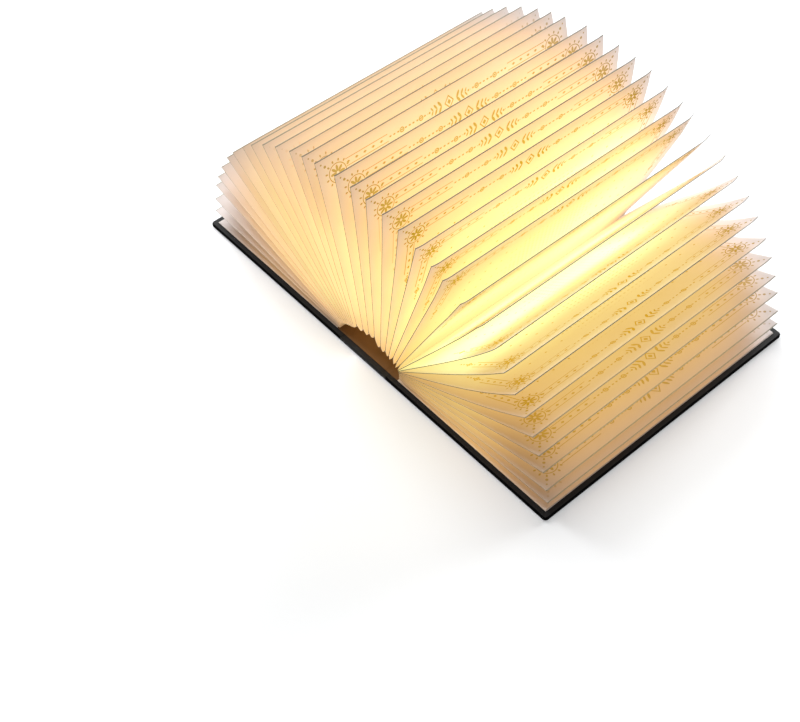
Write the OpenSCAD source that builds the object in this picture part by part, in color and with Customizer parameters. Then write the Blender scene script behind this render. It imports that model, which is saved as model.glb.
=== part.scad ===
// Folding book lamp, lying open and flat.
// Frame: X runs across the open book, Y along the spine (tail at -Y, head at +Y), Z up.
// The origin is the middle of the spine, on the surface that the book lies on.
// The front cover lies on the -X side and the back cover on the +X side.

/* [Case] */
// Height of the book along the spine
book_h = 216; // [190:1:240]
// Width of one cover, from its hinge axis to its fore-edge
cover_w = 150; // [146:1:160]
// Distance between the two hinge axes, which is the closed thickness of the book
spine_w = 38; // [38:0.5:42]
// Thickness of the grey board inside the covers and the spine
board_t = 2.4; // [1.8:0.1:2.4]
// Thickness of the cover cloth
cloth_t = 0.3; // [0.2:0.05:0.3]
// Width of the cloth turned over the inside edges
turn_in = 12; // [8:1:20]
// Rounding of the cover corners at the fore-edge
corner_r = 2.5; // [1.5:0.5:4]
// Width of the flexible joint between the spine and a cover board
joint_w = 3.6; // [3.6:0.1:4.5]

/* [Pages] */
// Height of a page along the spine
page_h = 208; // [180:1:210]
// Thickness of one pleat, which is two sheets folded at the fore-edge
pleat_t = 0.36; // [0.2:0.02:0.4]
// Angle of the outermost free pleat from upright
fan_angle = 85.8; // [84:0.1:86]
// Lean of the upright pleats towards the back cover
fan_lean = 3.5; // [0:0.5:4]
// Unevenness of the fan: how far the pleats bunch and spread, as an angle
fan_wave = 1.2; // [0:0.2:1.6]
// Height of the fore-edge folds over the table when the book is closed
ridge_z = 147.8; // [140:0.2:148]
// Half width of the arch of valley folds when the book is open
arch_half = 30; // [29:0.5:30]
// Height of the springing of that arch
arch_base = 4; // [4:0.1:4.4]
// Rise of that arch
arch_rise = 14.2; // [14.2:0.1:15]
// Distance from the middle to the outermost free pleat when the book is closed
block_half = 14.8; // [14.4:0.1:14.8]
// Valley height of the outermost pleats when the book is closed
valley_low = 10.7; // [10.2:0.1:11]
// Distance from the hinge axis to the inner edge of a glued page
glue_inset = 11.5; // [11.5:0.5:14]
// Thickness of the page panel glued to each cover
glued_t = 0.3; // [0.15:0.05:0.35]

/* [Light bar] */
// Width of the light bar
bar_w = 25; // [24:0.5:26]
// Start of the light bar, at the tail end
bar_y0 = -88; // [-90:1:-84]
// End of the light bar, at the head end, where the charging port is
bar_y1 = 100; // [98:1:104]
// Wall thickness of the light bar's base
bar_wall = 1.2; // [1:0.1:1.4]
// Height of the top of the diffuser over the table
bar_top = 14.4; // [13.8:0.1:14.6]
// Number of light-emitting diodes
led_count = 24; // [16:1:24]
// Distance between two diodes
led_pitch = 7; // [6:0.5:7]

/* [Hidden] */
NPL = 33;

hx = spine_w / 2;                    // hinge axis
fore_x = hx + cover_w;               // fore-edge of the cover
half_h = book_h / 2;
board_x = hx + joint_w;              // inner edge of the cover board
sw = hx - 0.65;                      // half width of the spine board
z_board = cloth_t;                   // underside of the boards
z_turn = cloth_t + board_t;          // underside of the turned-in cloth
z_inner = z_turn + cloth_t;          // top of the turned-in cloth
end_t = 0.25;                        // endpaper over the turned-in cloth
z_page = z_inner + end_t;            // top of the endpaper
show = 4;                            // cloth left showing round the endpaper
glue_x = hx + glue_inset;            // inner edge of the glued page
foil_t = 0.06;                       // depth of the stamped foil
z_bar = z_inner + 0.3;               // underside of the light bar
mag = [8, 62];                       // magnet: distance from the hinge axis, place along Y

cloth_col = [0.20, 0.26, 0.32];
spine_col = [0.13, 0.14, 0.16];
board_col = [0.55, 0.53, 0.48];
lining_col = [0.40, 0.26, 0.14];
paper_col = [0.93, 0.90, 0.88];
page_col = [1.00, 0.86, 0.60];
foil_col = [0.93, 0.90, 0.72];

// ---- pleat layout -------------------------------------------------------
// place of pleat i in the fan, -1 at the front cover to 1 at the back cover
function pl_u(i) = (i - (NPL + 1) / 2) / ((NPL - 1) / 2);
// its angle from upright, towards +X
function pl_th(i) = fan_angle * pl_u(i) + (fan_lean - fan_wave * sin(20 * i)) * (1 - pl_u(i) * pl_u(i));
// its valley fold on the arch of the open book
function pl_v(i) = [arch_half * sin(pl_th(i)), arch_base + arch_rise * cos(pl_th(i))];
// its valley height in the closed book
function pl_c(i) = valley_low + (arch_base + arch_rise - valley_low) * cos(pl_th(i));
// its depth from valley fold to fore-edge fold
function pl_len(i) = ridge_z - pl_c(i);

// ---- helpers ------------------------------------------------------------
module mirror_if(side) { if (side < 0) mirror([1, 0, 0]) children(); else children(); }

// plate from x0 to x1 whose far corners are rounded
module plate(x0, x1, hh, z0, z1, r) {
    translate([0, 0, z0]) linear_extrude(z1 - z0) union() {
        translate([x0, -hh]) square([x1 - r - x0, 2 * hh]);
        translate([x0, -hh + r]) square([x1 - x0, 2 * hh - 2 * r]);
        for (s = [-1, 1]) translate([x1 - r, s * (hh - r)]) circle(r, $fn = 48);
    }
}
module box(x0, x1, y0, y1, z0, z1) { translate([x0, y0, z0]) cube([x1 - x0, y1 - y0, z1 - z0]); }
// rounded bar along Y
module bar(x, y0, y1, z0, z1, r) {
    translate([0, y1, 0]) rotate([90, 0, 0]) linear_extrude(y1 - y0) union() {
        translate([-x + r, z0]) square([2 * x - 2 * r, z1 - z0]);
        translate([-x, z0 + r]) square([2 * x, z1 - z0 - 2 * r]);
        for (sx = [-1, 1], zz = [z0 + r, z1 - r]) translate([sx * (x - r), zz]) circle(r, $fn = 32);
    }
}
// thin frame of width w whose outer size is x0 to x1 by 2*hh
module frame2d(x0, x1, hh, w) {
    difference() {
        translate([x0, -hh]) square([x1 - x0, 2 * hh]);
        translate([x0 + w, -hh + w]) square([x1 - x0 - 2 * w, 2 * hh - 2 * w]);
    }
}
module ring2d(r, w) { difference() { circle(r, $fn = 96); circle(r - w, $fn = 96); } }

// ---- covers -------------------------------------------------------------
module cover_board(side) {
    mirror_if(side) difference() {
        plate(board_x, fore_x - cloth_t, half_h - cloth_t, z_board, z_turn, corner_r - cloth_t);
        if (side < 0) translate([hx + mag[0], mag[1], z_turn - 1.7]) cylinder(d = 8.2, h = 5, $fn = 48);
    }
}
// stamped ornament, drawn in the plane of the outer face
module front_foil_2d() {
    x0 = board_x + 7; x1 = fore_x - 7; hh = half_h - 8;
    frame2d(x0, x1, hh, 1.1);
    frame2d(x0 + 2.6, x1 - 2.6, hh - 2.6, 0.5);
    translate([(x0 + x1) / 2, 0]) { ring2d(44, 1); ring2d(40, 0.5); ring2d(16, 0.8); }
}
module spine_foil_2d() {
    for (s = [-1, 1]) {
        translate([-13, s * 98 - 0.5]) square([26, 1]);
        translate([-13, s * 60 - 0.25]) square([26, 0.5]);
        translate([0, s * 79]) ring2d(9, 0.6);
        translate([0, s * 79]) ring2d(4.5, 0.5);
    }
}
module cover_cloth(side) {
    mirror_if(side) difference() {
        union() {
            plate(board_x, fore_x, half_h, 0, z_inner, corner_r);
            box(hx + 0.35, board_x + 1, -half_h, half_h, 0, cloth_t);
        }
        plate(board_x - 1, fore_x - cloth_t, half_h - cloth_t, z_board, z_turn, corner_r - cloth_t);
        box(board_x - 1, fore_x - turn_in, -(half_h - turn_in), half_h - turn_in, z_turn - 0.01, z_inner + 1);
        if (side < 0) translate([0, 0, -1]) linear_extrude(1 + foil_t) front_foil_2d();
    }
}
module cover_hinge_lining(side) {
    mirror_if(side) union() {
        box(board_x, glue_x, -(half_h - show), half_h - show, z_inner, z_page);
        box(board_x, glue_x, -(half_h - turn_in), half_h - turn_in, z_turn, z_inner);
    }
}
module cover_endpaper(side) {
    mirror_if(side) union() {
        box(glue_x, fore_x - show, -(half_h - show), half_h - show, z_inner, z_page);
        box(glue_x, fore_x - turn_in, -(half_h - turn_in), half_h - turn_in, z_turn, z_inner);
    }
}
module cover_glued_page(side) {
    mirror_if(side) box(glue_x, fore_x - show - 0.5, -page_h / 2, page_h / 2, z_page, z_page + glued_t);
}

module front_board() color(board_col) cover_board(-1);
module back_board() color(board_col) cover_board(1);
module front_cloth() color(cloth_col) cover_cloth(-1);
module back_cloth() color(cloth_col) cover_cloth(1);
module front_hinge_lining() color(lining_col) cover_hinge_lining(-1);
module back_hinge_lining() color(lining_col) cover_hinge_lining(1);
module front_endpaper() color(paper_col) cover_endpaper(-1);
module back_endpaper() color(paper_col) cover_endpaper(1);
module front_glued_page() color(page_col) cover_glued_page(-1);
module back_glued_page() color(page_col) cover_glued_page(1);
module front_foil() color(foil_col) mirror([1, 0, 0]) linear_extrude(foil_t) front_foil_2d();
module trigger_magnet() color([0.75, 0.76, 0.78]) translate([-(hx + mag[0]), mag[1], z_turn - 1.65]) cylinder(d = 8, h = 1.6, $fn = 48);

// ---- spine --------------------------------------------------------------
module spine_board() color(board_col) box(-sw, sw, -half_h + cloth_t, half_h - cloth_t, z_board, z_turn);
module spine_cloth() color(spine_col) difference() {
    box(-sw, sw, -half_h, half_h, 0, z_inner);
    box(-sw - 1, sw + 1, -half_h + cloth_t, half_h - cloth_t, z_board, z_turn);
    box(-sw - 1, sw + 1, -half_h + turn_in, half_h - turn_in, z_turn - 0.01, z_inner + 1);
    translate([0, 0, -1]) linear_extrude(1 + foil_t) spine_foil_2d();
}
module spine_lining() color(lining_col) union() {
    box(-sw, sw, -(half_h - show), half_h - show, z_inner, z_bar);
    box(-sw, sw, -(half_h - turn_in), half_h - turn_in, z_turn, z_inner);
}
module spine_foil() color(foil_col) linear_extrude(foil_t) spine_foil_2d();

// ---- light bar ----------------------------------------------------------
bx = bar_w / 2;
z_rim = z_bar + 7.0;                 // rim of the base, which carries the carrier plate
z_floor = z_bar + bar_wall;
z_carrier = z_rim;                   // underside of the carrier plate
carrier_t = 0.8;
z_strip = z_carrier + carrier_t;
z_led = z_strip + 0.4;
screw_y = [bar_y0 + 4.5, 24, bar_y1 - 15];
screw_x = bx - 4.2;
z_pcb = z_floor + 0.5;               // underside of the control board
z_pt = z_pcb + 1.2;                  // its top
port_z = z_pt;                       // underside of the charging port
led_y0 = bar_y0 + 9;

module light_bar_base() color([0.92, 0.91, 0.88]) difference() {
    union() {
        difference() {
            box(-bx, bx, bar_y0, bar_y1, z_bar, z_rim);
            box(-bx + bar_wall, bx - bar_wall, bar_y0 + bar_wall, bar_y1 - bar_wall, z_floor, z_rim + 1);
        }
        for (y = screw_y, s = [-1, 1]) translate([s * screw_x, y, z_bar]) cylinder(d = 3.6, h = z_rim - z_bar, $fn = 32);
        for (y = [34, 90], s = [-1, 1]) translate([s * 8, y, z_bar]) cylinder(d = 3, h = z_pcb - z_bar, $fn = 32);
        box(-10, 10, bar_y0 + 9.5, bar_y0 + 10.5, z_floor - 0.1, z_rim - 2.5);
        box(-10, 10, 19.2, 20.2, z_floor - 0.1, z_floor + 1.4);
    }
    for (y = screw_y, s = [-1, 1]) translate([s * screw_x, y, z_bar + 0.8]) cylinder(d = 1.6, h = 10, $fn = 32);
    // window for the charging port
    translate([-4.7, bar_y1 - bar_wall - 1, port_z - 0.2]) cube([9.4, bar_wall + 2, 3.26 + 0.4]);
    // window for the charging indicator
    translate([8, bar_y1 + 1, port_z + 1.3]) rotate([90, 0, 0]) cylinder(d = 1.8, h = bar_wall + 2, $fn = 24);
}
module battery() color([0.72, 0.74, 0.76]) union() {
    bar(9.8, bar_y0 + 11.5, 16, z_floor + 0.1, z_floor + 4.1, 1.6);
    box(-9, 9, 15.9, 18.6, z_floor + 1.8, z_floor + 2.2);
}
module control_board() color([0.10, 0.35, 0.22]) union() {
    difference() {
        box(-9.8, 9.8, 30, bar_y1 - bar_wall - 0.3, z_pcb, z_pt);
        for (s = [-1, 1]) translate([s * screw_x, bar_y1 - 15, z_floor]) cylinder(d = 4.4, h = 6, $fn = 32);
    }
    // driver chip, charger chip, coil and the indicator diode
    translate([0, 0, z_pt - 0.05]) {
        box(-3, 3, 42, 47, 0, 1.3);
        box(-3.5, 0.5, 66, 69.5, 0, 1.1);
        translate([4, 55, 0]) cylinder(d = 6, h = 1.9, $fn = 32);
        for (k = [0:5]) box(-8 + 2.6 * k, -7 + 2.6 * k, 74, 75.8, 0, 0.8);
        box(7.2, 8.8, 94, 96.5, 0, 1.6);
    }
}
module usb_c_port() color([0.78, 0.79, 0.80]) difference() {
    bar(4.47, bar_y1 - 7.4, bar_y1 - 0.1, port_z, port_z + 3.26, 1.6);
    bar(4.17, bar_y1 - 6.6, bar_y1 + 1, port_z + 0.3, port_z + 2.96, 1.32);
}
module hall_sensor() color([0.12, 0.12, 0.13]) union() {
    box(-8.6, -7.0, mag[1] - 1.45, mag[1] + 1.45, z_pt + 0.05, z_pt + 1.15);
    for (dy = [-0.95, 0.95]) box(-9.3, -8.55, mag[1] + dy - 0.2, mag[1] + dy + 0.2, z_pt, z_pt + 0.3);
    box(-7.05, -6.3, mag[1] - 0.2, mag[1] + 0.2, z_pt, z_pt + 0.3);
}
// short leads: battery tabs to the control board, and control board up to the strip.
// Each is a row of straight runs with ball corners, given as [y, z] points.
module lead(x, pts) {
    for (k = [0:len(pts) - 2]) let (a = pts[k], b = pts[k + 1]) {
        if (a[1] == b[1]) translate([x, min(a[0], b[0]), a[1]]) rotate([-90, 0, 0]) cylinder(d = 1, h = abs(b[0] - a[0]), $fn = 24);
        else translate([x, a[0], min(a[1], b[1])]) cylinder(d = 1, h = abs(b[1] - a[1]), $fn = 24);
        if (k > 0) translate([x, a[0], a[1]]) sphere(d = 1, $fn = 24);
    }
}
module wiring() color([0.75, 0.10, 0.08]) for (s = [-1, 1]) {
    lead(s * 3, [[18.7, z_floor + 2.0], [28.3, z_floor + 2.0], [28.3, z_pt + 0.5], [33, z_pt + 0.5]]);
    lead(s * 2.3, [[80, z_pt + 0.5], [86, z_pt + 0.5], [86, z_led + 0.5], [82, z_led + 0.5]]);
}
module led_carrier() color([0.96, 0.96, 0.94]) difference() {
    box(-bx + bar_wall + 0.1, bx - bar_wall - 0.1, bar_y0 + bar_wall + 0.1, 91.5, z_carrier, z_strip);
    for (y = screw_y, s = [-1, 1]) translate([s * screw_x, y, z_carrier - 1]) cylinder(d = 2.2, h = 4, $fn = 32);
    box(-3, 3, 84.5, 87.5, z_carrier - 1, z_strip + 1);
}
module led_strip() color([0.90, 0.90, 0.84]) box(-4, 4, bar_y0 + 6, 84, z_strip, z_led);
module leds() color([1.0, 0.95, 0.60]) for (k = [0:led_count - 1])
    box(-1.4, 1.4, led_y0 + k * led_pitch - 1.75, led_y0 + k * led_pitch + 1.75, z_led, z_led + 0.7);
module carrier_screws() color([0.62, 0.63, 0.65]) for (y = screw_y, s = [-1, 1]) translate([s * screw_x, y, 0]) difference() {
    union() {
        translate([0, 0, z_bar + 1.4]) cylinder(d = 1.55, h = z_strip - z_bar - 1.4, $fn = 32);
        translate([0, 0, z_strip]) cylinder(d = 3.2, h = 0.7, $fn = 32);
    }
    translate([0, 0, z_strip + 0.35]) for (a = [0, 90]) rotate(a) translate([-1, -0.2, 0]) cube([2, 0.4, 1]);
}
// domed cover: a circular arc over short straight sides
module dome2d(x, z0, zs, zt) {
    s = zt - zs;
    r = (x * x + s * s) / (2 * s);
    intersection() {
        translate([0, zt - r]) circle(r, $fn = 128);
        translate([-x, z0]) square([2 * x, zt - z0 + 1]);
    }
}
module diffuser() color([0.98, 0.93, 0.80]) difference() {
    translate([0, bar_y1, 0]) rotate([90, 0, 0]) linear_extrude(bar_y1 - bar_y0) dome2d(bx, z_rim, z_rim + 1.2, bar_top);
    translate([0, bar_y1 - bar_wall, 0]) rotate([90, 0, 0]) linear_extrude(bar_y1 - bar_y0 - 2 * bar_wall)
        dome2d(bx - bar_wall, z_rim - 1, z_rim + 1.2, bar_top - 1);
}

// ---- pleats -------------------------------------------------------------
// one pleat: a flat double leaf with its fold at the fore-edge
module pleat(i) {
    L = pl_len(i);
    t = pleat_t / 2;
    v = pl_v(i);
    color(page_col) translate([v[0], 0, v[1]]) rotate([0, pl_th(i), 0])
        translate([0, page_h / 2, 0]) rotate([90, 0, 0]) linear_extrude(page_h)
            polygon([[-t, 0], [t, 0], [t, L - 1.2 * t], [0.45 * t, L], [-0.45 * t, L], [-t, L - 1.2 * t]]);
}
module pleat_01() pleat(1);
module pleat_02() pleat(2);
module pleat_03() pleat(3);
module pleat_04() pleat(4);
module pleat_05() pleat(5);
module pleat_06() pleat(6);
module pleat_07() pleat(7);
module pleat_08() pleat(8);
module pleat_09() pleat(9);
module pleat_10() pleat(10);
module pleat_11() pleat(11);
module pleat_12() pleat(12);
module pleat_13() pleat(13);
module pleat_14() pleat(14);
module pleat_15() pleat(15);
module pleat_16() pleat(16);
module pleat_17() pleat(17);
module pleat_18() pleat(18);
module pleat_19() pleat(19);
module pleat_20() pleat(20);
module pleat_21() pleat(21);
module pleat_22() pleat(22);
module pleat_23() pleat(23);
module pleat_24() pleat(24);
module pleat_25() pleat(25);
module pleat_26() pleat(26);
module pleat_27() pleat(27);
module pleat_28() pleat(28);
module pleat_29() pleat(29);
module pleat_30() pleat(30);
module pleat_31() pleat(31);
module pleat_32() pleat(32);
module pleat_33() pleat(33);

spine_board();
spine_cloth();
spine_lining();
spine_foil();
front_board();
front_cloth();
front_hinge_lining();
front_endpaper();
front_glued_page();
front_foil();
trigger_magnet();
back_board();
back_cloth();
back_hinge_lining();
back_endpaper();
back_glued_page();
light_bar_base();
battery();
control_board();
usb_c_port();
hall_sensor();
wiring();
led_carrier();
led_strip();
leds();
carrier_screws();
diffuser();
pleat_01();
pleat_02();
pleat_03();
pleat_04();
pleat_05();
pleat_06();
pleat_07();
pleat_08();
pleat_09();
pleat_10();
pleat_11();
pleat_12();
pleat_13();
pleat_14();
pleat_15();
pleat_16();
pleat_17();
pleat_18();
pleat_19();
pleat_20();
pleat_21();
pleat_22();
pleat_23();
pleat_24();
pleat_25();
pleat_26();
pleat_27();
pleat_28();
pleat_29();
pleat_30();
pleat_31();
pleat_32();
pleat_33();
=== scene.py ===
import math

import bpy
import numpy as np
from mathutils import Matrix, Vector


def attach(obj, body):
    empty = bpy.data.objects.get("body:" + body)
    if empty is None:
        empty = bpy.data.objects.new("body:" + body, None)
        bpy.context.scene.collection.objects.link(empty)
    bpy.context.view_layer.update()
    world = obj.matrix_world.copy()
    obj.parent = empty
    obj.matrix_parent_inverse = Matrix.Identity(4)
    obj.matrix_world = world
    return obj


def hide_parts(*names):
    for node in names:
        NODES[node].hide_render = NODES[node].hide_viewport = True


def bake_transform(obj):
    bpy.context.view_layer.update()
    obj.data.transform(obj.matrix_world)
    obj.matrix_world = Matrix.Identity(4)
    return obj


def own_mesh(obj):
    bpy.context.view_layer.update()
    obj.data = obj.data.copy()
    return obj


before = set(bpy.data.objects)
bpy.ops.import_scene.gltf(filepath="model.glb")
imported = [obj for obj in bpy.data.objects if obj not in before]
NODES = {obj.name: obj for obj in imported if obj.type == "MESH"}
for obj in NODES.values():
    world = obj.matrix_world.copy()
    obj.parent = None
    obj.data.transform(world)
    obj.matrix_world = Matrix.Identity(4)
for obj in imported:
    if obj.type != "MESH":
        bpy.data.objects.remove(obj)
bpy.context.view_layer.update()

MM = 0.001
scene = bpy.context.scene
scene.view_settings.view_transform = "Standard"
scene.view_settings.look = "None"
scene.view_settings.exposure = 0.0
scene.view_settings.gamma = 1.0

# ======================================================================
# camera and stage
# ======================================================================
CAM_AZ, CAM_EL, CAM_ROLL = math.radians(51.29980683), math.radians(50.12463442), math.radians(-2.6951943)
back = Vector((math.sin(CAM_AZ) * math.cos(CAM_EL), -math.cos(CAM_AZ) * math.cos(CAM_EL), math.sin(CAM_EL)))
right = (-back).cross(Vector((0, 0, 1))).normalized()
up = right.cross(-back)
r2 = math.cos(CAM_ROLL) * right + math.sin(CAM_ROLL) * up
u2 = -math.sin(CAM_ROLL) * right + math.cos(CAM_ROLL) * up
cam_data = bpy.data.cameras.new("camera")
cam = bpy.data.objects.new("camera", cam_data)
scene.collection.objects.link(cam)
cam.matrix_world = Matrix((
    (r2.x, u2.x, back.x, 0.46302),
    (r2.y, u2.y, back.y, -0.44768),
    (r2.z, u2.z, back.z, 0.68392),
    (0, 0, 0, 1)))
cam_data.lens = 61.5463
cam_data.sensor_width = 36.0
cam_data.sensor_fit = "HORIZONTAL"
cam_data.clip_start, cam_data.clip_end = 0.01, 50
scene.camera = cam


def area(name, loc, target, size, power, colour=(1, 1, 1), size_y=None):
    d = bpy.data.lights.new(name, "AREA")
    d.energy, d.color, d.size = power, colour, size
    if size_y:
        d.shape, d.size_y = "RECTANGLE", size_y
    o = bpy.data.objects.new(name, d)
    scene.collection.objects.link(o)
    o.location = loc
    o.rotation_euler = (Vector(target) - Vector(loc)).to_track_quat("-Z", "Y").to_euler()
    return o


def soft_light(name, azimuth, elevation, power):
    """A soft box 1.2 m wide, 2.2 m away; azimuth from +X towards +Y."""
    a, e, r = math.radians(azimuth), math.radians(elevation), 2.2
    return area(name, (r * math.cos(a) * math.cos(e), r * math.sin(a) * math.cos(e), r * math.sin(e)), (0, 0, 0.05), 1.2, power)


soft_light("head_light", 90, 15, 82)
soft_light("corner_light", 135, 15, 42)
soft_light("side_light", 180, 40, 38)
soft_light("top_light", 180, 65, 22)

world = bpy.data.worlds.new("world")
scene.world = world
world.use_nodes = True
wt = world.node_tree
lit = wt.nodes["Background"]
lit.inputs[0].default_value = (1.0, 1.0, 1.0, 1)
lit.inputs[1].default_value = 0.17
seen = wt.nodes.new("ShaderNodeBackground")
seen.inputs[0].default_value = (0.93, 0.93, 0.935, 1)
seen.inputs[1].default_value = 0.9
path = wt.nodes.new("ShaderNodeLightPath")
both = wt.nodes.new("ShaderNodeMixShader")
wt.links.new(path.outputs["Is Camera Ray"], both.inputs[0])
wt.links.new(lit.outputs[0], both.inputs[1])
wt.links.new(seen.outputs[0], both.inputs[2])
wt.links.new(both.outputs[0], wt.nodes["World Output"].inputs[0])


# ======================================================================
# small helpers: meshes and node materials
# ======================================================================
def mesh_object(name, verts_mm, faces, mats, face_mat=None, smooth=True, sharp=35):
    me = bpy.data.meshes.new(name)
    me.from_pydata([tuple(c * MM for c in v) for v in verts_mm], [], [tuple(f) for f in faces])
    for m in mats:
        me.materials.append(m)
    if face_mat is not None:
        me.polygons.foreach_set("material_index", np.array(face_mat, np.int32))
    me.validate(clean_customdata=False)
    me.update()
    if smooth:
        me.polygons.foreach_set("use_smooth", np.ones(len(me.polygons), bool))
        me.set_sharp_from_angle(angle=math.radians(sharp))
    o = bpy.data.objects.new(name, me)
    scene.collection.objects.link(o)
    return o


def point_attribute(obj, name, values):
    a = obj.data.attributes.new(name, "FLOAT", "POINT")
    a.data.foreach_set("value", np.asarray(values, np.float32))


class Tree:
    """Short spellings for building a node tree."""

    def __init__(self, name):
        self.mat = bpy.data.materials.new(name)
        self.mat.use_nodes = True
        self.nt = self.mat.node_tree
        self.nt.nodes.clear()
        self.out = self.nt.nodes.new("ShaderNodeOutputMaterial")
        self.p = self.nt.nodes.new("ShaderNodeBsdfPrincipled")
        self.nt.links.new(self.p.outputs[0], self.out.inputs[0])
        self._obj = None

    def plug(self, socket, v):
        if isinstance(v, bpy.types.NodeSocket):
            self.nt.links.new(v, socket)
        elif v is not None:
            if socket.type == "RGBA" and not hasattr(v, "__len__"):
                v = (v, v, v, 1)
            elif socket.type == "RGBA" and len(v) == 3:
                v = (*v, 1)
            socket.default_value = v

    def m(self, op, a, b=None, c=None, clamp=False):
        n = self.nt.nodes.new("ShaderNodeMath")
        n.operation, n.use_clamp = op, clamp
        for k, v in enumerate((a, b, c)):
            if v is not None:
                self.plug(n.inputs[k], v)
        return n.outputs[0]

    def add(self, *t):
        r = t[0]
        for x in t[1:]:
            r = self.m("ADD", r, x)
        return r

    def mul(self, *t):
        r = t[0]
        for x in t[1:]:
            r = self.m("MULTIPLY", r, x)
        return r

    def sub(self, a, b):
        return self.m("SUBTRACT", a, b)

    def low(self, a, b):
        return self.m("MINIMUM", a, b)

    def high(self, *t):
        r = t[0]
        for x in t[1:]:
            r = self.m("MAXIMUM", r, x)
        return r

    def ab(self, a):
        return self.m("ABSOLUTE", a)

    def length(self, a, b):
        return self.m("SQRT", self.add(self.mul(a, a), self.mul(b, b)))

    def inside(self, d, w, soft=0.06):
        """1 where d < w, with an edge soft wide."""
        return self.m("MULTIPLY_ADD", self.sub(w, d), 0.5 / soft, 0.5, clamp=True)

    def outside(self, d, w, soft=0.06):
        return self.m("MULTIPLY_ADD", self.sub(d, w), 0.5 / soft, 0.5, clamp=True)

    def attr(self, name):
        n = self.nt.nodes.new("ShaderNodeAttribute")
        n.attribute_name = name
        return n.outputs["Fac"]

    def obj_co(self):
        if self._obj is None:
            self._obj = self.nt.nodes.new("ShaderNodeTexCoord").outputs["Object"]
        return self._obj

    def xyz(self, v=None):
        n = self.nt.nodes.new("ShaderNodeSeparateXYZ")
        self.nt.links.new(v or self.obj_co(), n.inputs[0])
        return n.outputs

    def noise(self, scale, detail=3, rough=0.5, stretch=None):
        n = self.nt.nodes.new("ShaderNodeTexNoise")
        n.inputs["Scale"].default_value = scale
        n.inputs["Detail"].default_value = detail
        n.inputs["Roughness"].default_value = rough
        v = self.obj_co()
        if stretch:
            mp = self.nt.nodes.new("ShaderNodeMapping")
            mp.inputs["Scale"].default_value = stretch
            self.nt.links.new(v, mp.inputs[0])
            v = mp.outputs[0]
        self.nt.links.new(v, n.inputs["Vector"])
        return n.outputs["Fac"]

    def mix(self, fac, a, b):
        n = self.nt.nodes.new("ShaderNodeMix")
        n.data_type = "RGBA"
        self.plug(n.inputs["Factor"], fac)
        self.plug(n.inputs["A"], a)
        self.plug(n.inputs["B"], b)
        return n.outputs["Result"]

    def ramp(self, fac, stops):
        n = self.nt.nodes.new("ShaderNodeValToRGB")
        self.plug(n.inputs[0], fac)
        cr = n.color_ramp
        while len(cr.elements) < len(stops):
            cr.elements.new(0.5)
        for e, (pos, col) in zip(cr.elements, stops):
            e.position = pos
            e.color = (*col, 1) if len(col) == 3 else col
        return n.outputs[0]

    def scale_colour(self, col, k):
        n = self.nt.nodes.new("ShaderNodeVectorMath")
        n.operation = "SCALE"
        self.plug(n.inputs[0], col[:3] if isinstance(col, tuple) else col)
        self.plug(n.inputs["Scale"], k)
        return n.outputs[0]

    def add_colour(self, a, b):
        n = self.nt.nodes.new("ShaderNodeVectorMath")
        n.operation = "ADD"
        self.plug(n.inputs[0], a)
        self.plug(n.inputs[1], b)
        return n.outputs[0]

    def bump(self, height, strength=0.2, distance=0.0002, normal=None):
        n = self.nt.nodes.new("ShaderNodeBump")
        n.inputs["Strength"].default_value = strength
        n.inputs["Distance"].default_value = distance
        self.plug(n.inputs["Height"], height)
        if normal is not None:
            self.plug(n.inputs["Normal"], normal)
        return n.outputs[0]

    def set(self, **kw):
        for k, v in kw.items():
            self.plug(self.p.inputs[k.replace("_", " ")], v)
        return self


def plain(name, colour, rough=0.5, vary=0.12, scale=180, metal=0.0, bump=0.08, rough_vary=0.1, **kw):
    """A finish with slight mottling, uneven gloss and fine relief."""
    t = Tree(name)
    n = t.noise(scale, 4, 0.6)
    lo = tuple(c * (1 - vary) for c in colour)
    hi = tuple(min(1.0, c * (1 + vary)) for c in colour)
    t.set(Base_Color=t.mix(n, lo, hi), Metallic=metal)
    t.set(Roughness=t.m("MULTIPLY_ADD", t.noise(scale * 2.3, 2), rough_vary * 2, rough - rough_vary))
    t.set(Normal=t.bump(t.noise(scale * 5, 2), bump, 0.0001))
    for k, v in kw.items():
        t.set(**{k: v})
    return t.mat


def weave(name, colour, warm=None, pitch=0.42, strength=0.35, rough=0.62, vary=0.16, sheen=0.06, gloss=0.4):
    """Book cloth: two crossed sets of threads with uneven dye."""
    t = Tree(name)
    x, y, z = t.xyz()
    wob = t.m("MULTIPLY_ADD", t.noise(900, 2), 0.00025, -0.000125)
    k = 2 * math.pi / (pitch * MM)
    a = t.m("SINE", t.mul(t.add(x, wob, t.mul(z, 0.7)), k))
    b = t.m("SINE", t.mul(t.add(y, wob, t.mul(z, 0.7)), k))
    cross = t.mul(a, b)
    h = t.m("MULTIPLY_ADD", t.add(t.mul(t.ab(a), 0.5), t.mul(t.ab(b), 0.5), t.mul(cross, 0.35)), 0.6, 0.1)
    tone = t.m("MULTIPLY_ADD", t.noise(55, 4, 0.6), 0.55, t.m("MULTIPLY", h, 0.45))
    lo = tuple(c * (1 - vary * 1.6) for c in colour)
    hi = tuple(min(1.0, c * (1 + vary * 1.6)) for c in (warm or colour))
    t.set(Base_Color=t.mix(tone, lo, hi))
    t.set(Roughness=t.m("MULTIPLY_ADD", h, 0.18, rough - 0.08))
    t.set(Normal=t.bump(h, strength, 0.00012))
    t.p.inputs["Sheen Weight"].default_value = sheen
    t.p.inputs["Sheen Roughness"].default_value = 0.5
    t.p.inputs["Specular IOR Level"].default_value = gloss
    return t.mat


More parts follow.
